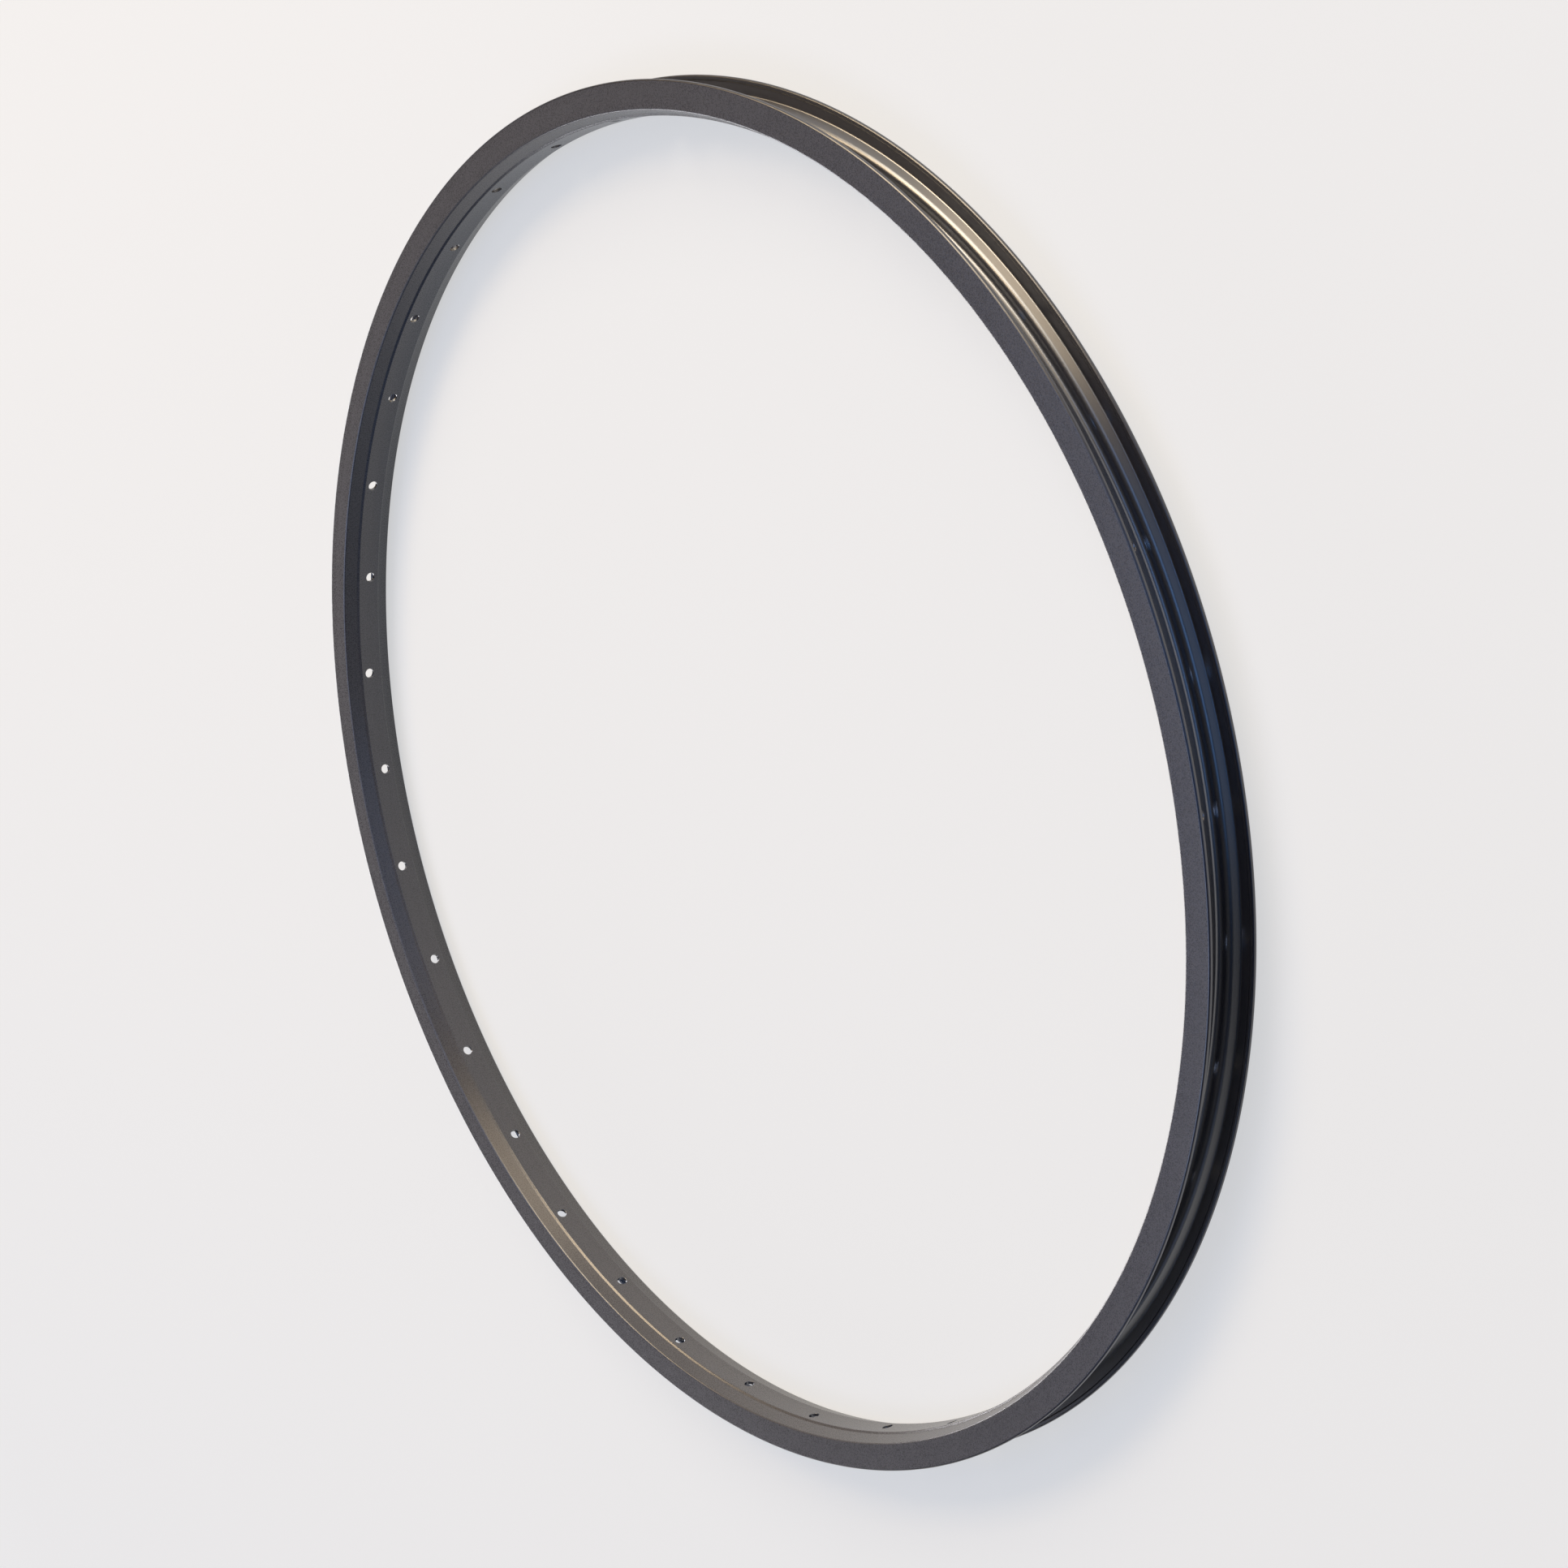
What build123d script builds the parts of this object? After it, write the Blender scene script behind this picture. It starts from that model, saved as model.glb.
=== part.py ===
"""Bicycle rim: one ring of extruded aluminium, drilled for its spokes and its valve.

The wheel's axis is Z and the middle plane of the rim is Z = 0. The valve hole lies on +X.
"""

import os
from math import cos, dist, radians, tan

from build123d import *

# Driving dimensions of the section, in millimetres and degrees
BEAD_SEAT_DIAMETER = 584.0
INNER_WIDTH = 21.6
WALL = 1.4
FLANGE_HEIGHT = 6.4
LIP_THICKNESS = 1.9
HOOK_HEIGHT = 2.2
BEAD_SEAT_WIDTH = 4.0
BEAD_SEAT_SLOPE = 30.0
WELL_DEPTH = 7.1
BED_THICKNESS = 1.5
BED_WIDTH = 10.6
BED_STEP = 0.8
SHOULDER_RISE = 2.1

# Rounds of the section, from the well outwards and back to the spoke bed
WELL_ROUND = 3.0
WELL_EDGE_ROUND = 3.0
BEAD_CORNER_ROUND = 0.8
HOOK_ROUND = 0.4
LIP_ROUND = 0.8
SHOULDER_ROUND = 1.0
STEP_ROUND = 0.6
CHAMBER_ROUND = 0.6

# Drilling
SPOKE_COUNT = 36
SPOKE_HOLE_DIAMETER = 4.5
SPOKE_STAGGER = 1.1
VALVE_HOLE_DIAMETER = 8.5
DRILL_RUN_OUT = 2.0

# A round takes at most this share of the shorter edge beside its corner
ROUND_SHARE = 0.45

# Radii of the section about the wheel's axis
bead_seat_radius = BEAD_SEAT_DIAMETER / 2
lip_radius = bead_seat_radius + FLANGE_HEIGHT
well_radius = bead_seat_radius - WELL_DEPTH
bed_radius = well_radius - BED_THICKNESS
step_foot_radius = bed_radius + BED_STEP
shoulder_radius = step_foot_radius + SHOULDER_RISE

# Distances of the section from the middle plane
inner_half = INNER_WIDTH / 2
outer_half = inner_half + WALL
lip_half = outer_half - LIP_THICKNESS
well_half = inner_half - BEAD_SEAT_WIDTH
bed_half = BED_WIDTH / 2
step_foot_half = bed_half + BED_STEP

seat_fall = tan(radians(BEAD_SEAT_SLOPE))
shoulder_fall = SHOULDER_RISE / (outer_half - step_foot_half)


def seat_radius(height):
    """Radius of the sloping bead seat at a height above the middle plane."""
    return bead_seat_radius - (inner_half - height) * seat_fall


def shoulder_line(height):
    """Radius of the shoulder, on the hub's side, at a height above the middle plane."""
    return step_foot_radius + (height - step_foot_half) * shoulder_fall


def fitting_round(before, corner, after, wanted):
    """The wanted radius at a corner, or the largest that its two edges have room for."""
    turn = (Vector(*corner) - Vector(*before)).get_angle(Vector(*after) - Vector(*corner))
    shorter = min(dist(before, corner), dist(corner, after))
    return min(wanted, ROUND_SHARE * shorter / tan(radians(turn) / 2))


def rounded_line(corners):
    """A line through (radius, height, round) corners; its first and last corners stay sharp."""
    points = [corner[:2] for corner in corners]
    rounds = [
        fitting_round(points[i - 1], points[i], points[i + 1], corners[i][2])
        for i in range(1, len(points) - 1)
    ]
    return FilletPolyline(*points, radius=rounds)


def half_section():
    """Face of the upper half of the section, in the plane of radius and height."""
    hook_foot = lip_radius - HOOK_HEIGHT
    hook_crest = hook_foot + LIP_THICKNESS - WALL
    outline = rounded_line(
        [
            (well_radius, 0, 0),
            (well_radius, well_half, WELL_ROUND),
            (seat_radius(well_half), well_half, WELL_EDGE_ROUND),
            (bead_seat_radius, inner_half, BEAD_CORNER_ROUND),
            (hook_foot, inner_half, HOOK_ROUND),
            (hook_crest, lip_half, HOOK_ROUND),
            (lip_radius, lip_half, LIP_ROUND),
            (lip_radius, outer_half, LIP_ROUND),
            (shoulder_radius, outer_half, SHOULDER_ROUND),
            (step_foot_radius, step_foot_half, STEP_ROUND),
            (bed_radius, bed_half, STEP_ROUND),
            (bed_radius, 0, 0),
        ]
    )
    middle = Line(outline @ 1, outline @ 0)
    return make_face(outline.edges() + middle.edges())


def chamber():
    """Face of the hollow between shoulder and bead seat, one wall in from every side of it."""
    well_side = well_half + WALL
    flange_side = outer_half - WALL
    under_seat = WALL / cos(radians(BEAD_SEAT_SLOPE))
    over_shoulder = WALL * dist((0, 0), (1, shoulder_fall))
    corners = Polygon(
        (shoulder_line(well_side) + over_shoulder, well_side),
        (seat_radius(well_side) - under_seat, well_side),
        (seat_radius(flange_side) - under_seat, flange_side),
        (shoulder_line(flange_side) + over_shoulder, flange_side),
        align=None,
    )
    return fillet(corners.vertices(), CHAMBER_ROUND)


def section():
    """The whole extruded section, on both sides of the middle plane."""
    upper = half_section() - chamber()
    return upper + mirror(upper, about=Plane.XZ)


def drill(diameter, angle, height):
    """A drill through the spoke bed along a radius of the wheel."""
    length = BED_THICKNESS + 2 * DRILL_RUN_OUT
    along_x = Plane(origin=(bed_radius - DRILL_RUN_OUT, 0, height), z_dir=(1, 0, 0))
    cutter = extrude(along_x * Circle(diameter / 2), length)
    return cutter.rotate(Axis.Z, angle)


def spoke_drills():
    """One drill for each spoke, staggered to either side of the middle plane."""
    pitch = 360 / SPOKE_COUNT
    return [
        drill(SPOKE_HOLE_DIAMETER, (i + 0.5) * pitch, SPOKE_STAGGER * (-1) ** i)
        for i in range(SPOKE_COUNT)
    ]


def rim():
    """The ring, with its spoke holes and its valve hole."""
    ring = revolve(Plane.XZ * section(), Axis.Z)
    return ring - [*spoke_drills(), drill(VALVE_HOLE_DIAMETER, 0, 0)]


os.makedirs("parts", exist_ok=True)
export_step(rim(), "parts/rim.step")
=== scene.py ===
"""Finished look of a black anodised bicycle rim, lying on a pale studio floor.

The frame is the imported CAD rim. One ring of quads is drawn over it, with its section, spoke holes
and valve hole in the same places. It takes the three finishes of the real one: blasted outside,
plain drawn in the tyre channel, and rolled smooth on the lips.
"""

import math
from typing import NamedTuple

import bpy
from bpy.props import FloatProperty, FloatVectorProperty, IntProperty, PointerProperty
from mathutils import Matrix, Quaternion, Vector


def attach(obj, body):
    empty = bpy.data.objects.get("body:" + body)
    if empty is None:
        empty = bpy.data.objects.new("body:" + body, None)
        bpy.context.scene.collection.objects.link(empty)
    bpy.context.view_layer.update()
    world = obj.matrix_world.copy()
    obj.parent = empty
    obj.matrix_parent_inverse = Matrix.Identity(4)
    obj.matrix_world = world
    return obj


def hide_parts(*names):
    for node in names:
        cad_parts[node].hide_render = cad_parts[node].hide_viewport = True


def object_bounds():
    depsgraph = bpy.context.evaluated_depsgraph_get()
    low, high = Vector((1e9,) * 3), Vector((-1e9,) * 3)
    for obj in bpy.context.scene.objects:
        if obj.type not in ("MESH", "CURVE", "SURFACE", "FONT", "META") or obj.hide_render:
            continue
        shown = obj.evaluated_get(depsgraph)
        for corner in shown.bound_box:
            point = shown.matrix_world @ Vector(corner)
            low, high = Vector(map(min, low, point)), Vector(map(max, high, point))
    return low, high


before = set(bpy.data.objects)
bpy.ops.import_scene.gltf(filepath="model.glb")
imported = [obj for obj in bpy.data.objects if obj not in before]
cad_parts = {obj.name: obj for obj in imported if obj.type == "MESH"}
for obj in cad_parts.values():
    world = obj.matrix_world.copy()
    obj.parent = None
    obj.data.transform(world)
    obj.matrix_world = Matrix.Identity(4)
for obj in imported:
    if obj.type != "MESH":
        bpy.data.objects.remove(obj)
cad_low, cad_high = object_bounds()

bl_info = {
    "name": "Bicycle Rim",
    "version": (1, 0, 0),
    "blender": (4, 5, 0),
    "location": "3D View > Sidebar > Rim",
    "description": "Draws a black anodised bicycle rim and its studio",
    "category": "Object",
}

BODY = "root"
NODE = "rim"

# Finishes of the rim, in the order of its material slots
BLASTED = 0
DRAWN = 1
ROLLED = 2

# Rounds of the section, from the well outwards and back to the spoke bed, in metres
WELL_ROUND = 0.003
WELL_EDGE_ROUND = 0.003
BEAD_CORNER_ROUND = 0.0008
HOOK_ROUND = 0.0004
LIP_ROUND = 0.0008
SHOULDER_ROUND = 0.001
STEP_ROUND = 0.0006

# A round takes at most this share of the shorter edge beside its corner
ROUND_SHARE = 0.45

# The ring's grid: turn of each part of a round, steps from one spoke hole to the next,
# and rows and steps to either side of a hole that its patch takes up
ARC_STEP = math.radians(15)
STEPS_PER_SPOKE = 16
DRILL_ROWS = 4
DRILL_STEPS = 2

# Places of the loops round a hole, as shares of the way from its edge to the edge of its patch
PATCH_LOOPS = (0.0, 0.25, 0.6)

# Scale and detail of the noise that makes the blasted pits and the clouds of the dye, in grain
# sizes, the share of the clouds, and the noise at which the tone is darkest and lightest
PIT_NOISE = (1.0, 2.0)
CLOUD_NOISE = (0.02, 3.0)
CLOUD_SHARE = 0.1
GRAIN_SPAN = (0.3, 0.7)

# Scale and detail of the noise that makes the fine and the broad die lines, in line pitches,
# and how fast the lines change along the rim, per metre
FINE_NOISE = (1.0, 2.0)
BROAD_NOISE = (0.2, 1.0)
LINE_CHANGE = 12.0

# Half of the floor's side, in metres, the scale and detail of its mottle, and the mottle's strength
FLOOR_HALF = 8.0
MOTTLE_NOISE = (6.0, 2.0)
MOTTLE = 0.01
FLOOR_ROUGHNESS = 0.9

# Distances from the rim's middle, in metres, between which the lit floor fades into the backdrop
FLOOR_FADE = (1.1, 2.2)

# Strength of the world's light on the rim, and sines of the heights between which the horizon fades
FILL = 0.01
HORIZON_FADE = (0.02, 0.12)

# Distance of the lamps, in metres, and their colours
LAMP_DISTANCE = 4.0
PLAIN = (0.96, 0.95, 1.0)
WARM = (1.0, 0.9, 0.75)
LAMPLIGHT = (1.0, 0.77, 0.5)
COOL = (0.55, 0.67, 1.0)
SKY = (0.2, 0.45, 1.0)

# Width of the camera's sensor, in millimetres
SENSOR_WIDTH = 36.0

# Sockets of a Mix node that mixes colours
MIX_COLOURS = slice(6, 8)
MIX_RESULT = 2

BLACK = (0.0, 0.0, 0.0, 1.0)
WHITE = (1.0, 1.0, 1.0, 1.0)


class RimShape(bpy.types.PropertyGroup):
    """Sizes of the rim's section and of its drilling."""

    lip_radius: FloatProperty(
        name="Lip Radius",
        description="From the wheel's axis to the top of the lips",
        default=cad_high.x,
        unit="LENGTH",
    )
    half_width: FloatProperty(
        name="Half Width",
        description="From the middle plane to the outside of a sidewall",
        default=cad_high.z,
        unit="LENGTH",
    )
    wall: FloatProperty(
        name="Wall",
        description="Thickness of a sidewall",
        default=0.0014,
        unit="LENGTH",
    )
    flange_height: FloatProperty(
        name="Flange Height",
        description="From the bead seat up to the top of the lip",
        default=0.0064,
        unit="LENGTH",
    )
    lip_thickness: FloatProperty(
        name="Lip Thickness",
        description="Thickness of the lip, which hooks in over the channel",
        default=0.0019,
        unit="LENGTH",
    )
    hook_height: FloatProperty(
        name="Hook Height",
        description="From the foot of the hook up to the top of the lip",
        default=0.0022,
        unit="LENGTH",
    )
    seat_width: FloatProperty(
        name="Bead Seat Width",
        description="From the flange to the edge of the well",
        default=0.004,
        unit="LENGTH",
    )
    seat_slope: FloatProperty(
        name="Bead Seat Slope",
        description="Fall of the bead seat towards the well",
        default=math.radians(30),
        subtype="ANGLE",
    )
    well_depth: FloatProperty(
        name="Well Depth",
        description="From the bead seat down to the floor of the well",
        default=0.0071,
        unit="LENGTH",
    )
    bed_thickness: FloatProperty(
        name="Bed Thickness",
        description="Thickness of the spoke bed under the well",
        default=0.0015,
        unit="LENGTH",
    )
    bed_width: FloatProperty(
        name="Bed Width",
        description="Width of the raised spoke bed",
        default=0.0106,
        unit="LENGTH",
    )
    bed_step: FloatProperty(
        name="Bed Step",
        description="How far the spoke bed stands out of the shoulders",
        default=0.0008,
        unit="LENGTH",
    )
    shoulder_rise: FloatProperty(
        name="Shoulder Rise",
        description="How far a shoulder falls back from the bed to the sidewall",
        default=0.0021,
        unit="LENGTH",
    )
    spoke_count: IntProperty(
        name="Spoke Holes",
        description="Number of spoke holes",
        default=36,
        min=12,
    )
    spoke_hole: FloatProperty(
        name="Spoke Hole",
        description="Diameter of a spoke hole",
        default=0.0045,
        unit="LENGTH",
    )
    spoke_stagger: FloatProperty(
        name="Spoke Stagger",
        description="Distance of a spoke hole from the middle plane",
        default=0.0011,
        unit="LENGTH",
    )
    valve_hole: FloatProperty(
        name="Valve Hole",
        description="Diameter of the valve hole",
        default=0.0085,
        unit="LENGTH",
    )
    edge_break: FloatProperty(
        name="Edge Break",
        description="Width of the broken edge round a drilled hole",
        default=0.0002,
        unit="LENGTH",
    )


class RimFinish(bpy.types.PropertyGroup):
    """Colours and grain of the anodised surface."""

    blasted_colour: FloatVectorProperty(
        name="Blasted Colour",
        description="Colour of the blasted outside",
        subtype="COLOR",
        default=(0.072, 0.07, 0.075),
        min=0.0,
        max=1.0,
    )
    drawn_colour: FloatVectorProperty(
        name="Drawn Colour",
        description="Colour of the plain drawn tyre channel",
        subtype="COLOR",
        default=(0.004, 0.003, 0.01),
        min=0.0,
        max=1.0,
    )
    grain_size: FloatProperty(
        name="Grain Size",
        description="Size of the pits that blasting leaves",
        default=0.0004,
        unit="LENGTH",
    )
    line_pitch: FloatProperty(
        name="Die Line Pitch",
        description="Distance between the faint lines that the die leaves round the rim",
        default=0.0005,
        unit="LENGTH",
    )


class StudioSettings(bpy.types.PropertyGroup):
    """Floor, lights and camera."""

    floor_colour: FloatVectorProperty(
        name="Floor Colour",
        description="Colour of the floor",
        subtype="COLOR",
        default=(0.28, 0.28, 0.28),
        min=0.0,
        max=1.0,
    )
    floor_glow: FloatProperty(
        name="Floor Glow",
        description="Share of the floor's paleness that doesn't come from the lamps",
        default=0.58,
        min=0.0,
        max=1.0,
    )
    backdrop: FloatProperty(
        name="Backdrop",
        description="Paleness of the horizon and of the far floor",
        default=0.86,
        min=0.0,
        max=1.0,
    )
    camera_distance: FloatProperty(
        name="Camera Distance",
        description="From the camera to the middle of the rim",
        default=1.32218,
        unit="LENGTH",
    )
    camera_elevation: FloatProperty(
        name="Camera Elevation",
        description="Height of the camera over the rim's plane",
        default=math.radians(35.182),
        subtype="ANGLE",
    )
    camera_azimuth: FloatProperty(
        name="Camera Azimuth",
        description="Place of the camera round the rim, from the valve hole",
        default=math.radians(-74.181),
        subtype="ANGLE",
    )
    camera_aim: FloatVectorProperty(
        name="Camera Aim",
        description="Point in the rim's plane that the camera looks at",
        subtype="TRANSLATION",
        default=(0.007776, -0.044970, 0.0),
    )
    camera_roll: FloatProperty(
        name="Camera Roll",
        description="Turn of the camera about its own line of sight",
        default=math.radians(-105.128),
        subtype="ANGLE",
    )
    camera_lens: FloatProperty(
        name="Camera Lens",
        description="Focal length on a 36 mm sensor",
        default=70.827,
        subtype="DISTANCE_CAMERA",
    )


class SectionPoint:
    """One point of the section: radius and height, the way its surface faces, and its finish."""

    def __init__(self, place, normal, finish):
        self.place = place
        self.normal = normal
        self.finish = finish

    def mirrored(self):
        """The same point on the other side of the middle plane."""
        across = Vector((1, -1))
        return SectionPoint(self.place * across, self.normal * across, self.finish)


def facing(direction):
    """The way that a surface faces, to the right of its line through the section."""
    return Vector((direction.y, -direction.x)).normalized()


def rounded_corner(before, corner, after, wanted, finish):
    """Points of the arc at a corner, as large as wanted or as its edges have room for."""
    way_in = (corner - before).normalized()
    way_out = (after - corner).normalized()
    turn = way_in.angle(way_out)
    shorter = min((corner - before).length, (after - corner).length)
    radius = min(wanted, ROUND_SHARE * shorter / math.tan(turn / 2))
    start = corner - way_in * radius * math.tan(turn / 2)
    sense = 1 if way_in.cross(way_out) > 0 else -1
    centre = start - sense * radius * facing(way_in)
    count = max(2, round(turn / ARC_STEP))
    points = []
    for i in range(count + 1):
        normal = Matrix.Rotation(sense * turn * i / count, 2) @ facing(way_in)
        points.append(SectionPoint(centre + sense * radius * normal, normal, finish))
    return points


def straight_run(start, end, parts):
    """Points that divide the run between two points of the section into equal parts."""
    gap = end.place - start.place
    return [
        SectionPoint(start.place + gap * i / parts, end.normal, end.finish)
        for i in range(1, parts)
    ]


def section_corners(shape):
    """Corners of the section's upper half, from the middle of the well over the lip to the bed.

    Each has its radius, height, round, finish, and the number of parts in the run that leads to it.
    """
    seat = shape.lip_radius - shape.flange_height
    well = seat - shape.well_depth
    bed = well - shape.bed_thickness
    step_foot = bed + shape.bed_step
    shoulder = step_foot + shape.shoulder_rise
    inner_half = shape.half_width - shape.wall
    lip_half = shape.half_width - shape.lip_thickness
    well_half = inner_half - shape.seat_width
    bed_half = shape.bed_width / 2
    seat_edge = seat - shape.seat_width * math.tan(shape.seat_slope)
    hook_foot = shape.lip_radius - shape.hook_height
    hook_crest = hook_foot + shape.lip_thickness - shape.wall
    return [
        (well, 0.0, 0.0, DRAWN, 1),
        (well, well_half, WELL_ROUND, DRAWN, DRILL_ROWS),
        (seat_edge, well_half, WELL_EDGE_ROUND, DRAWN, 1),
        (seat, inner_half, BEAD_CORNER_ROUND, DRAWN, 2),
        (hook_foot, inner_half, HOOK_ROUND, DRAWN, 2),
        (hook_crest, lip_half, HOOK_ROUND, DRAWN, 1),
        (shape.lip_radius, lip_half, LIP_ROUND, ROLLED, 1),
        (shape.lip_radius, shape.half_width, LIP_ROUND, ROLLED, 1),
        (shoulder, shape.half_width, SHOULDER_ROUND, BLASTED, 4),
        (step_foot, bed_half + shape.bed_step, STEP_ROUND, BLASTED, 3),
        (bed, bed_half, STEP_ROUND, BLASTED, 1),
        (bed, 0.0, 0.0, BLASTED, DRILL_ROWS),
    ]


def rim_section(shape):
    """Points of the whole section, from the middle of the well round both of its halves."""
    corners = section_corners(shape)
    places = [Vector(corner[:2]) for corner in corners]
    first = SectionPoint(places[0], facing(places[1] - places[0]), corners[0][3])
    last = SectionPoint(places[-1], facing(places[-1] - places[-2]), corners[-1][3])
    upper = [first]
    for i in range(1, len(corners) - 1):
        arc = rounded_corner(*places[i - 1 : i + 2], *corners[i][2:4])
        upper += straight_run(upper[-1], arc[0], corners[i][4]) + arc
    upper += straight_run(upper[-1], last, corners[-1][4]) + [last]
    lower = [point.mirrored() for point in reversed(upper[1:-1])]
    return upper + lower


class RimDraft:
    """Points, faces and finishes of the rim while it is drawn."""

    def __init__(self, shape):
        self.shape = shape
        self.section = rim_section(shape)
        self.steps = shape.spoke_count * STEPS_PER_SPOKE
        self.bed_row = len(self.section) // 2
        self.points = []
        self.normals = []
        self.faces = []
        self.finishes = []
        self.on_grid = {}

    def point(self, place, normal):
        """Adds a point and returns its number."""
        self.points.append(place)
        self.normals.append(normal)
        return len(self.points) - 1

    def face(self, corners, finish):
        """Adds a face between points."""
        self.faces.append(corners)
        self.finishes.append(finish)

    def turn(self, step):
        """The turn about the wheel's axis that leads to a step."""
        return Matrix.Rotation(math.tau * step / self.steps, 3, "Z")

    def grid_point(self, step, row):
        """The point at a step round the rim and a row of its section, added once."""
        key = (step % self.steps, row % len(self.section))
        if key not in self.on_grid:
            at = self.section[key[1]]
            place = Vector((at.place.x, 0, at.place.y))
            normal = Vector((at.normal.x, 0, at.normal.y))
            turn = self.turn(step)
            self.on_grid[key] = self.point(turn @ place, turn @ normal)
        return self.on_grid[key]

    def draw_ring(self, drilled):
        """Adds the quads of the ring, apart from the drilled cells."""
        rows = len(self.section)
        for step in range(self.steps):
            for row in range(rows):
                if (step, row) in drilled:
                    continue
                corners = [
                    self.grid_point(step, row),
                    self.grid_point(step + 1, row),
                    self.grid_point(step + 1, row + 1),
                    self.grid_point(step, row + 1),
                ]
                ends = self.section[row], self.section[(row + 1) % rows]
                self.face(corners, min(end.finish for end in ends))

    def patch_cells(self, step):
        """Cells of the ring that a hole's patches take the place of, in the well and on the bed."""
        rows = len(self.section)
        return {
            ((step + along) % self.steps, (middle + across) % rows)
            for middle in (0, self.bed_row)
            for along in range(-DRILL_STEPS, DRILL_STEPS)
            for across in range(-DRILL_ROWS, DRILL_ROWS)
        }

    def patch_edge(self, step, middle, rise):
        """Steps and rows of the points round a patch, anticlockwise as seen from outside."""
        right = [(DRILL_STEPS, across) for across in range(-DRILL_ROWS, DRILL_ROWS)]
        top = [(along, DRILL_ROWS) for along in range(DRILL_STEPS, -DRILL_STEPS, -1)]
        half = right + top
        whole = half + [(-along, -across) for along, across in half]
        return [(step + along, middle + rise * across) for along, across in whole]

    def surface_at(self, middle, height):
        """Radius and normal of the surface near the middle row of a patch, at a height."""
        near = [self.section[middle + i] for i in range(-DRILL_ROWS, DRILL_ROWS + 1)]
        near.sort(key=lambda at: at.place.y)
        pairs = list(zip(near, near[1:]))
        low, high = next((pair for pair in pairs if pair[1].place.y >= height), pairs[-1])
        share = (height - low.place.y) / (high.place.y - low.place.y)
        normal = low.normal.lerp(high.normal, share).normalized()
        return low.place.lerp(high.place, share).x, normal

    def patch_point(self, step, middle, across, height):
        """Adds a point of a patch, at a distance across the hole's own radius and at a height."""
        radius, normal = self.surface_at(middle, height)
        place = Vector((math.sqrt(radius**2 - across**2), across, height))
        swing = Matrix.Rotation(math.asin(across / radius), 3, "Z")
        facing_out = swing @ Vector((normal.x, 0, normal.y))
        return self.point(self.turn(step) @ place, self.turn(step) @ facing_out)

    def draw_patch(self, step, middle, rise, rim_points):
        """Adds the quads between a hole and the edge of its patch, and returns the hole's loop."""
        edge = self.patch_edge(step, middle, rise)
        back = self.turn(step).transposed()
        ends = [self.grid_point(*at) for at in edge]
        places = [back @ self.points[end] for end in ends]
        loops = []
        for share in PATCH_LOOPS:
            loop = []
            for start, place in zip(rim_points, places):
                at = start.lerp(Vector((place.y, place.z)), share)
                loop.append(self.patch_point(step, middle, at.x, at.y))
            loops.append(loop)
        loops.append(ends)
        finish = self.section[middle].finish
        for inner, outer in zip(loops, loops[1:]):
            self.join_loops(inner, outer, finish, rise)
        return loops[0]

    def join_loops(self, inner, outer, finish, way):
        """Adds quads between two loops of points; way -1 turns them over."""
        for i in range(len(inner)):
            after = (i + 1) % len(inner)
            corners = [inner[i], outer[i], outer[after], inner[after]]
            self.face(corners[::way], finish)

    def draw_hole(self, step, height, diameter):
        """Adds a drilled hole: a patch on the bed, one in the well, and the wall between them."""
        count = 4 * (DRILL_STEPS + DRILL_ROWS)
        # The loop starts where the edge of its patch does, at a corner
        angles = [math.tau * (i - DRILL_ROWS) / count for i in range(count)]
        ways = [Vector((math.cos(angle), math.sin(angle))) for angle in angles]
        middle = Vector((0, height))
        broken = self.shape.edge_break
        rim_points = [middle + way * (diameter / 2 + broken) for way in ways]
        bed_loop = self.draw_patch(step, self.bed_row, -1, rim_points)
        well_loop = self.draw_patch(step, 0, 1, rim_points)
        walls = []
        for loop, inset in ((bed_loop, broken), (well_loop, -broken)):
            wall = []
            for way, end in zip(ways, loop):
                depth = (self.turn(step).transposed() @ self.points[end]).x + inset
                at = middle + way * diameter / 2
                place = Vector((depth, at.x, at.y))
                normal = Vector((0, -way.x, -way.y))
                wall.append(self.point(self.turn(step) @ place, self.turn(step) @ normal))
            walls.append(wall)
        self.join_loops(bed_loop, walls[0], DRAWN, 1)
        self.join_loops(walls[0], walls[1], DRAWN, 1)
        self.join_loops(walls[1], well_loop, DRAWN, 1)

    def mesh(self, name):
        """The finished mesh, with the normals of the true surface."""
        made = bpy.data.meshes.new(name)
        made.from_pydata(self.points, [], self.faces)
        made.polygons.foreach_set("material_index", self.finishes)
        made.validate()
        made.shade_smooth()
        made.normals_split_custom_set_from_vertices(self.normals)
        return made


def draw_rim(shape):
    """The whole rim as a draft: its ring, its spoke holes and its valve hole."""
    draft = RimDraft(shape)
    holes = [(0, 0.0, shape.valve_hole)]
    for i in range(shape.spoke_count):
        step = STEPS_PER_SPOKE // 2 + i * STEPS_PER_SPOKE
        holes.append((step, shape.spoke_stagger * (-1) ** i, shape.spoke_hole))
    drilled = set().union(*(draft.patch_cells(step) for step, _, _ in holes))
    draft.draw_ring(drilled)
    for hole in holes:
        draft.draw_hole(*hole)
    return draft


def new_group(name, inputs, outputs):
    """An empty shader node group of float sockets; returns it with its two end nodes."""
    group = bpy.data.node_groups.new(name, "ShaderNodeTree")
    for socket in inputs:
        group.interface.new_socket(socket, in_out="INPUT", socket_type="NodeSocketFloat")
    for socket in outputs:
        group.interface.new_socket(socket, in_out="OUTPUT", socket_type="NodeSocketFloat")
    return group, group.nodes.new("NodeGroupInput"), group.nodes.new("NodeGroupOutput")


def feed(tree, socket, value):
    """Links an input to another node's output, or sets it to a plain value."""
    if isinstance(value, bpy.types.NodeSocket):
        tree.links.new(value, socket)
    else:
        socket.default_value = value


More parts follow.
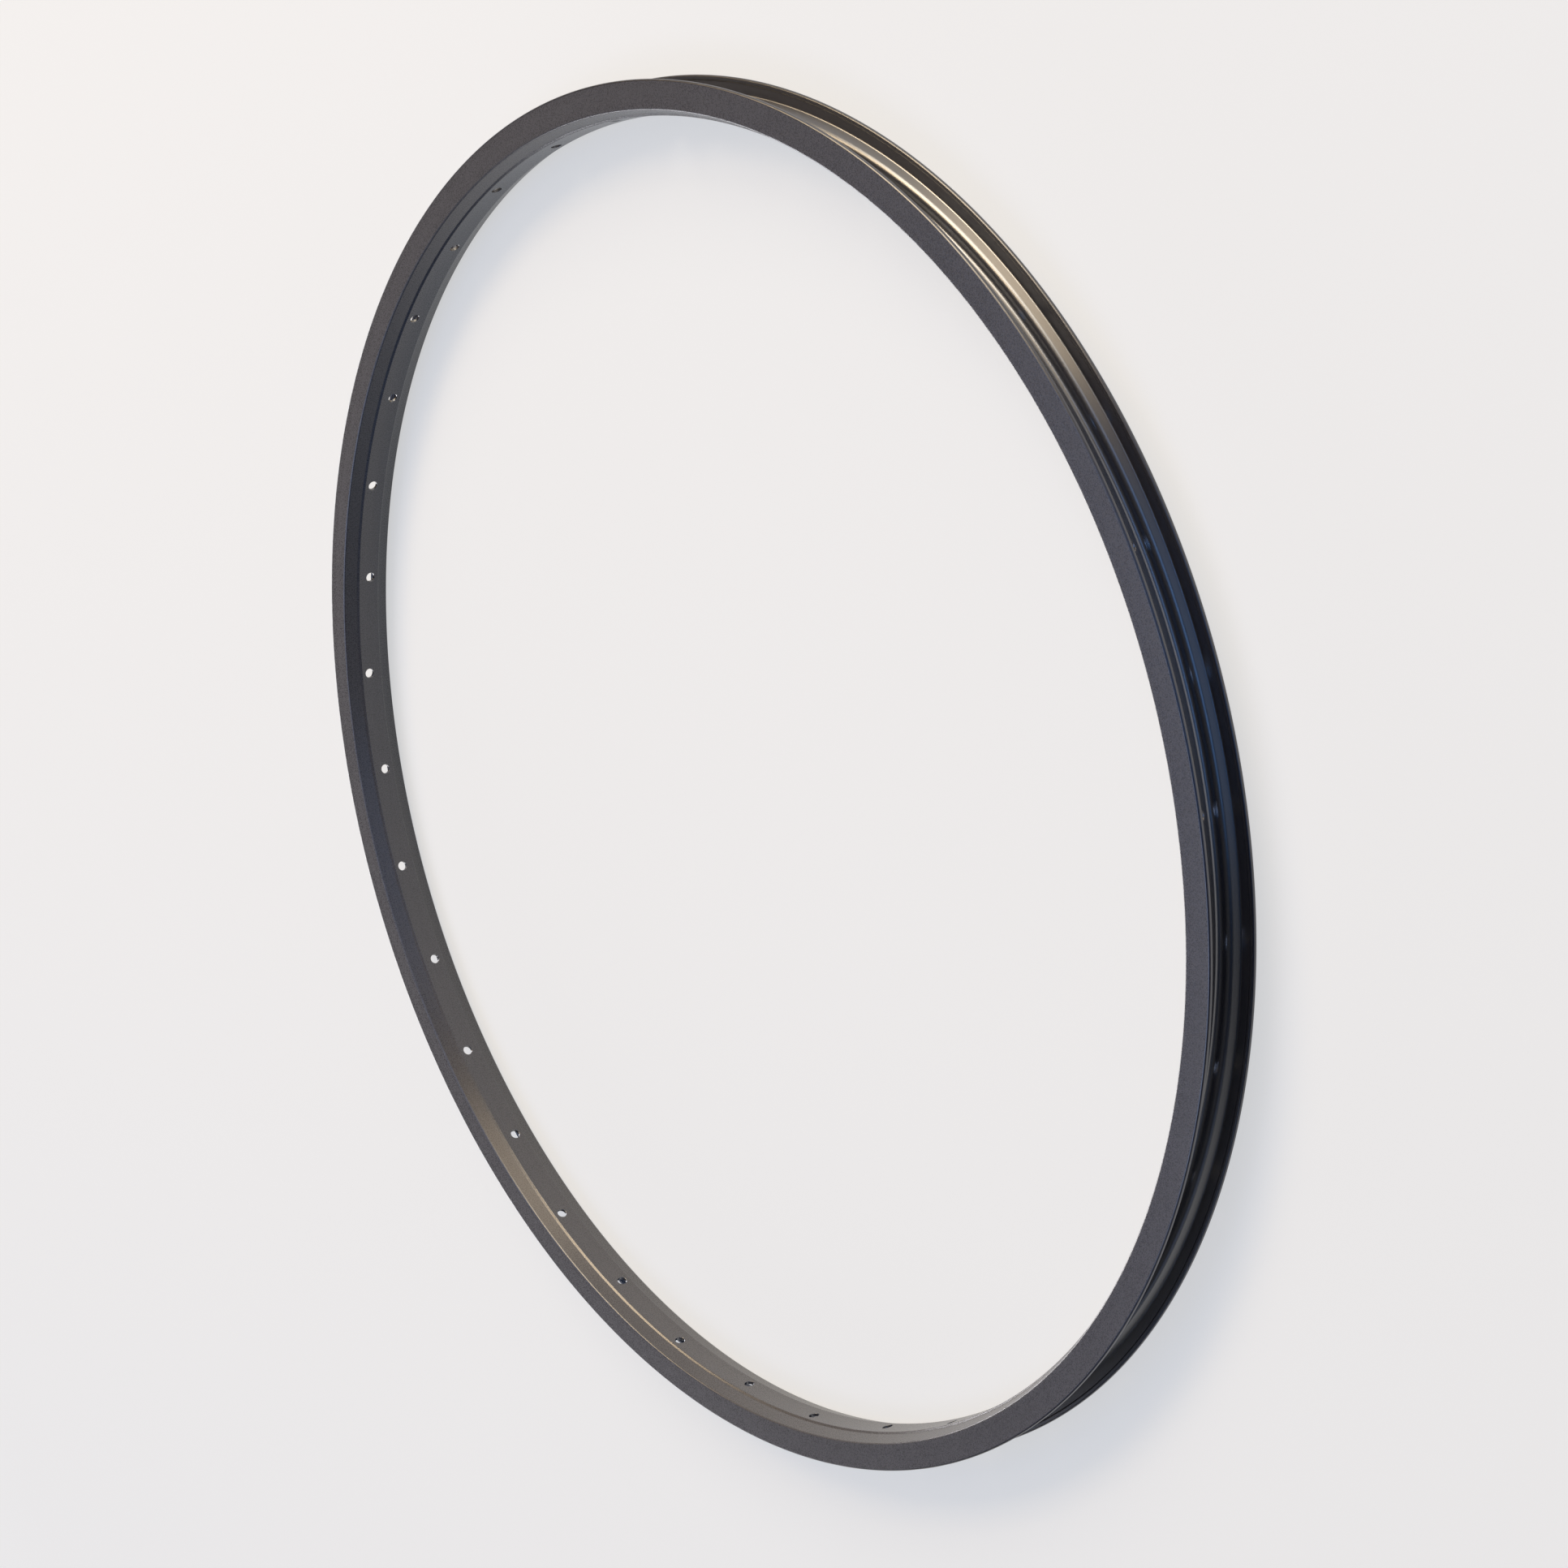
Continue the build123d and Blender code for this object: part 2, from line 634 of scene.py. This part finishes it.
def math_node(tree, operation, first, second):
    """A math node on two sockets or numbers; returns its result."""
    node = tree.nodes.new("ShaderNodeMath")
    node.operation = operation
    for socket, value in zip(node.inputs, (first, second)):
        feed(tree, socket, value)
    return node.outputs["Value"]


def noise_node(tree, place, scale, detail):
    """A noise texture at a place socket; returns its value."""
    node = tree.nodes.new("ShaderNodeTexNoise")
    node.inputs["Scale"].default_value = scale
    node.inputs["Detail"].default_value = detail
    tree.links.new(place, node.inputs["Vector"])
    return node.outputs["Fac"]


def blended(tree, first, second, share):
    """The sum of two values, of which the second has a share."""
    parts = [
        math_node(tree, "MULTIPLY", first, 1 - share),
        math_node(tree, "MULTIPLY", second, share),
    ]
    return math_node(tree, "ADD", *parts)


def ranged(tree, value, low, high, given=(0.0, 1.0)):
    """A value between the two given ones, mapped into a range."""
    node = tree.nodes.new("ShaderNodeMapRange")
    node.inputs["From Min"].default_value, node.inputs["From Max"].default_value = given
    node.inputs["To Min"].default_value = low
    node.inputs["To Max"].default_value = high
    tree.links.new(value, node.inputs["Value"])
    return node.outputs["Result"]


def sized_place(tree, size):
    """The object's coordinates measured in a size that a socket gives."""
    place = tree.nodes.new("ShaderNodeTexCoord").outputs["Object"]
    scaled = tree.nodes.new("ShaderNodeVectorMath")
    scaled.operation = "SCALE"
    tree.links.new(place, scaled.inputs[0])
    tree.links.new(math_node(tree, "DIVIDE", 1.0, size), scaled.inputs["Scale"])
    return scaled.outputs["Vector"]


def blast_grain_group():
    """Pits of a blasted surface, and the cloudy tone of the dye over it."""
    group, given, made = new_group("Blast Grain", ["Grain Size"], ["Height", "Tone"])
    place = sized_place(group, given.outputs["Grain Size"])
    pits = noise_node(group, place, *PIT_NOISE)
    cloud = noise_node(group, place, *CLOUD_NOISE)
    tone = ranged(group, blended(group, pits, cloud, CLOUD_SHARE), 0.0, 1.0, GRAIN_SPAN)
    group.links.new(pits, made.inputs["Height"])
    group.links.new(tone, made.inputs["Tone"])
    return group


def die_lines_group():
    """Faint lines that run round the rim, as the extrusion die and the rolling leave them."""
    group, given, made = new_group("Die Lines", ["Pitch"], ["Height", "Tone"])
    place = group.nodes.new("ShaderNodeTexCoord").outputs["Object"]
    split = group.nodes.new("ShaderNodeSeparateXYZ")
    group.links.new(place, split.inputs["Vector"])
    across = split.outputs["X"], split.outputs["Y"]
    squares = [math_node(group, "MULTIPLY", axis, axis) for axis in across]
    radius = math_node(group, "SQRT", math_node(group, "ADD", *squares), 0.0)
    lines = group.nodes.new("ShaderNodeCombineXYZ")
    for socket, value in (("X", radius), ("Y", split.outputs["Z"])):
        pitches = math_node(group, "DIVIDE", value, given.outputs["Pitch"])
        group.links.new(pitches, lines.inputs[socket])
    group.links.new(math_node(group, "MULTIPLY", across[1], LINE_CHANGE), lines.inputs["Z"])
    fine = noise_node(group, lines.outputs["Vector"], *FINE_NOISE)
    broad = noise_node(group, lines.outputs["Vector"], *BROAD_NOISE)
    group.links.new(fine, made.inputs["Height"])
    group.links.new(broad, made.inputs["Tone"])
    return group


def group_node(tree, group, **values):
    """A node of a group in a material, with values for its inputs by their names in lower case."""
    node = tree.nodes.new("ShaderNodeGroup")
    node.node_tree = group
    for socket in node.inputs:
        socket.default_value = values[socket.name.lower().replace(" ", "_")]
    return node


def mixed_colour(tree, share, first, second):
    """A colour between two colours or colour sockets, by the share of the second."""
    mix = tree.nodes.new("ShaderNodeMix")
    mix.data_type = "RGBA"
    tree.links.new(share, mix.inputs["Factor"])
    for socket, colour in zip(mix.inputs[MIX_COLOURS], (first, second)):
        feed(tree, socket, colour)
    return mix.outputs[MIX_RESULT]


def toned_colour(tree, tone, colour, spread):
    """The colour, made darker and lighter by a tone; spread is the share of the change."""
    dark = (*(part * (1 - spread) for part in colour), 1.0)
    light = (*(part * (1 + spread) for part in colour), 1.0)
    return mixed_colour(tree, tone, dark, light)


def bumped(tree, height, strength, distance):
    """A bump node's normal from a height."""
    node = tree.nodes.new("ShaderNodeBump")
    node.inputs["Strength"].default_value = strength
    node.inputs["Distance"].default_value = distance
    tree.links.new(height, node.inputs["Height"])
    return node.outputs["Normal"]


def new_material(name):
    """A material with a Principled shader; returns it with its tree and the shader."""
    material = bpy.data.materials.new(name)
    material.use_nodes = True
    return material, material.node_tree, material.node_tree.nodes["Principled BSDF"]


class Anodise(NamedTuple):
    """How an anodised finish takes the grain and the die lines, and how it shines."""

    line_share: float
    colour_spread: float
    roughness: tuple
    bump_lines: bool
    bump_strength: float
    bump_depth: float
    ior: float


# Dull, with a fine even grain
BLASTED_LOOK = Anodise(
    line_share=0.2,
    colour_spread=0.4,
    roughness=(0.24, 0.32),
    bump_lines=False,
    bump_strength=0.8,
    bump_depth=0.00004,
    ior=1.7,
)

# Smoother and darker, with faint lines round the rim
DRAWN_LOOK = Anodise(
    line_share=0.7,
    colour_spread=0.3,
    roughness=(0.28, 0.38),
    bump_lines=True,
    bump_strength=0.15,
    bump_depth=0.00003,
    ior=2.6,
)
ROLLED_LOOK = DRAWN_LOOK._replace(ior=2.0)


def anodised(name, look, colour, finish, grain, lines):
    """Black anodising over bare metal, with the look of one of the finishes."""
    material, tree, shader = new_material(name)
    pits = group_node(tree, grain, grain_size=finish.grain_size)
    die = group_node(tree, lines, pitch=finish.line_pitch)
    tone = blended(tree, pits.outputs["Tone"], die.outputs["Tone"], look.line_share)
    bumps = die if look.bump_lines else pits
    normal = bumped(tree, bumps.outputs["Height"], look.bump_strength, look.bump_depth)
    dye = toned_colour(tree, tone, colour, look.colour_spread)
    tree.links.new(dye, shader.inputs["Base Color"])
    tree.links.new(ranged(tree, tone, *look.roughness), shader.inputs["Roughness"])
    tree.links.new(normal, shader.inputs["Normal"])
    shader.inputs["IOR"].default_value = look.ior
    return material


def pale_floor(colour, glow, backdrop):
    """Matt floor, lit round the rim, that fades further out into the even glow of the backdrop."""
    material, tree, shader = new_material("pale_floor")
    place = tree.nodes.new("ShaderNodeTexCoord").outputs["Object"]
    reach = tree.nodes.new("ShaderNodeVectorMath")
    reach.operation = "LENGTH"
    tree.links.new(place, reach.inputs[0])
    far = ranged(tree, reach.outputs["Value"], 0.0, 1.0, FLOOR_FADE)
    lit = toned_colour(tree, noise_node(tree, place, *MOTTLE_NOISE), colour, MOTTLE)
    tree.links.new(mixed_colour(tree, far, lit, BLACK), shader.inputs["Base Color"])
    shader.inputs["Roughness"].default_value = FLOOR_ROUGHNESS
    shader.inputs["Specular IOR Level"].default_value = 0.0
    ray = tree.nodes.new("ShaderNodeLightPath").outputs
    reflected = math_node(tree, "MAXIMUM", ray["Is Glossy Ray"], ray["Is Transmission Ray"])
    seen = math_node(tree, "MAXIMUM", ray["Is Camera Ray"], reflected)
    glowing = math_node(tree, "MULTIPLY", seen, ranged(tree, far, glow, backdrop))
    tree.links.new(glowing, shader.inputs["Emission Strength"])
    shader.inputs["Emission Color"].default_value = WHITE
    material.cycles.emission_sampling = "NONE"
    return material


def pale_horizon(backdrop):
    """World as pale as the floor: all round for the camera, low down in what the rim reflects."""
    world = bpy.data.worlds.new("pale_horizon")
    world.use_nodes = True
    tree = world.node_tree
    way = tree.nodes.new("ShaderNodeTexCoord").outputs["Generated"]
    split = tree.nodes.new("ShaderNodeSeparateXYZ")
    tree.links.new(way, split.inputs["Vector"])
    low = ranged(tree, split.outputs["Z"], 1.0, 0.0, HORIZON_FADE)
    ray = tree.nodes.new("ShaderNodeLightPath").outputs
    reflected = math_node(tree, "MULTIPLY", ray["Is Glossy Ray"], low)
    direct = math_node(tree, "MAXIMUM", ray["Is Camera Ray"], ray["Is Transmission Ray"])
    seen = math_node(tree, "MAXIMUM", direct, reflected)
    background = tree.nodes["Background"]
    background.inputs["Color"].default_value = WHITE
    tree.links.new(ranged(tree, seen, FILL, backdrop), background.inputs["Strength"])
    world.cycles.sampling_method = "NONE"
    return world


class RIM_OT_finished_rim(bpy.types.Operator):
    """Draw the rim in place of its CAD solid"""

    bl_idname = "rim.finished_rim"
    bl_label = "Finished Rim"

    def execute(self, context):
        """Draws the mesh, gives it its finishes, ties it to its body, and hides the CAD node."""
        finish = context.scene.rim_finish
        draft = draw_rim(context.scene.rim_shape)
        rim = bpy.data.objects.new("finished_rim", draft.mesh("finished_rim"))
        context.scene.collection.objects.link(rim)
        groups = blast_grain_group(), die_lines_group()
        for name, look, colour in (
            ("blasted_anodise", BLASTED_LOOK, finish.blasted_colour),
            ("drawn_anodise", DRAWN_LOOK, finish.drawn_colour),
            ("rolled_anodise", ROLLED_LOOK, finish.drawn_colour),
        ):
            rim.data.materials.append(anodised(name, look, colour, finish, *groups))
        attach(rim, BODY)
        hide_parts(NODE)
        return {"FINISHED"}


def heading(azimuth, elevation):
    """The direction from the middle of the rim at an azimuth and an elevation."""
    flat = math.cos(elevation)
    return Vector((flat * math.cos(azimuth), flat * math.sin(azimuth), math.sin(elevation)))


def soft_box(context, name, azimuth, elevation, size, brightness, colour):
    """A soft lamp that faces the rim.

    Its azimuth, its elevation, and its width and height as seen from the rim are in degrees.
    Its brightness is what a mirror on the rim would show of it, where 1 is white.
    """
    lamp = bpy.data.lights.new(name, "AREA")
    lamp.shape = "RECTANGLE"
    lamp.size, lamp.size_y = (2 * LAMP_DISTANCE * math.tan(math.radians(side) / 2) for side in size)
    lamp.energy = brightness * math.pi * lamp.size * lamp.size_y
    lamp.color = colour
    holder = bpy.data.objects.new(name, lamp)
    away = heading(math.radians(azimuth), math.radians(elevation))
    holder.location = away * LAMP_DISTANCE
    holder.rotation_mode = "QUATERNION"
    holder.rotation_quaternion = (-away).to_track_quat("-Z", "Y")
    context.scene.collection.objects.link(holder)


class RIM_OT_studio(bpy.types.Operator):
    """Make the floor, the lights and the camera"""

    bl_idname = "rim.studio"
    bl_label = "Studio"

    def execute(self, context):
        """Makes each part of the stage in turn."""
        studio = context.scene.rim_studio
        self.make_floor(context, studio)
        self.make_lights(context, studio)
        self.make_camera(context, studio)
        context.scene.view_settings.view_transform = "Standard"
        return {"FINISHED"}

    def make_floor(self, context, studio):
        """Lays the floor under the rim."""
        ways = ((-1, -1), (1, -1), (1, 1), (-1, 1))
        corners = [(x * FLOOR_HALF, y * FLOOR_HALF, cad_low.z) for x, y in ways]
        mesh = bpy.data.meshes.new("floor")
        mesh.from_pydata(corners, [], [(0, 1, 2, 3)])
        floor = bpy.data.objects.new("floor", mesh)
        finish = pale_floor(studio.floor_colour, studio.floor_glow, studio.backdrop)
        floor.data.materials.append(finish)
        context.scene.collection.objects.link(floor)

    def make_lights(self, context, studio):
        """Makes the pale world, and the lamps round the rim."""
        context.scene.world = pale_horizon(studio.backdrop)
        soft_box(context, "key", 0, 27, (36, 20), 8.0, WARM)
        soft_box(context, "high_key", 25, 43, (40, 16), 11.0, LAMPLIGHT)
        soft_box(context, "top_key", 30, 62, (40, 20), 1.2, WARM)
        soft_box(context, "top_strip", 345, 8, (30, 14), 3.0, LAMPLIGHT)
        soft_box(context, "left_strip", 102, 4, (36, 8), 11.5, PLAIN)
        soft_box(context, "corner", 127, 12, (15, 10), 6.0, PLAIN)
        soft_box(context, "bottom_strip", 150, 6, (24, 12), 0.8, WARM)
        soft_box(context, "overhead", 150, 62, (36, 22), 2.8, COOL)
        soft_box(context, "left_overhead", 92, 64, (22, 20), 2.4, SKY)
        soft_box(context, "back_fill", 200, 25, (40, 16), 0.4, COOL)
        soft_box(context, "near_sky", 321, 42, (22, 18), 0.8, SKY)
        soft_box(context, "far_sky", 287, 42, (36, 18), 1.4, SKY)
        soft_box(context, "low_sky", 285, 6, (50, 10), 0.9, SKY)

    def make_camera(self, context, studio):
        """Puts the camera at its place and turns it to its aim."""
        lens = bpy.data.cameras.new("camera")
        lens.sensor_width = SENSOR_WIDTH
        lens.lens = studio.camera_lens
        camera = bpy.data.objects.new("camera", lens)
        away = heading(studio.camera_azimuth, studio.camera_elevation)
        camera.location = away * studio.camera_distance
        sight = (Vector(studio.camera_aim) - camera.location).to_track_quat("-Z", "Y")
        camera.rotation_mode = "QUATERNION"
        camera.rotation_quaternion = sight @ Quaternion((0, 0, 1), studio.camera_roll)
        context.scene.collection.objects.link(camera)
        context.scene.camera = camera


class RIM_PT_panel(bpy.types.Panel):
    """Sizes, finishes and makers of the rim"""

    bl_idname = "RIM_PT_panel"
    bl_label = "Bicycle Rim"
    bl_space_type = "VIEW_3D"
    bl_region_type = "UI"
    bl_category = "Rim"

    def draw(self, context):
        """Lists the settings in boxes, and the operators under them."""
        for group in SETTINGS:
            settings = getattr(context.scene, group)
            box = self.layout.box()
            for name in settings.__annotations__:
                box.prop(settings, name)
        self.layout.operator(RIM_OT_finished_rim.bl_idname)
        self.layout.operator(RIM_OT_studio.bl_idname)


SETTINGS = {"rim_shape": RimShape, "rim_finish": RimFinish, "rim_studio": StudioSettings}
CLASSES = (*SETTINGS.values(), RIM_OT_finished_rim, RIM_OT_studio, RIM_PT_panel)


def register():
    """Registers the classes and puts the settings on the scene."""
    for made in CLASSES:
        bpy.utils.register_class(made)
    for name, made in SETTINGS.items():
        setattr(bpy.types.Scene, name, PointerProperty(type=made))


def unregister():
    """Takes the settings and the classes away again."""
    for name in SETTINGS:
        delattr(bpy.types.Scene, name)
    for made in reversed(CLASSES):
        bpy.utils.unregister_class(made)


def main():
    """Draws the rim and its studio."""
    register()
    bpy.ops.rim.finished_rim()
    bpy.ops.rim.studio()


if __name__ == "__main__":
    main()
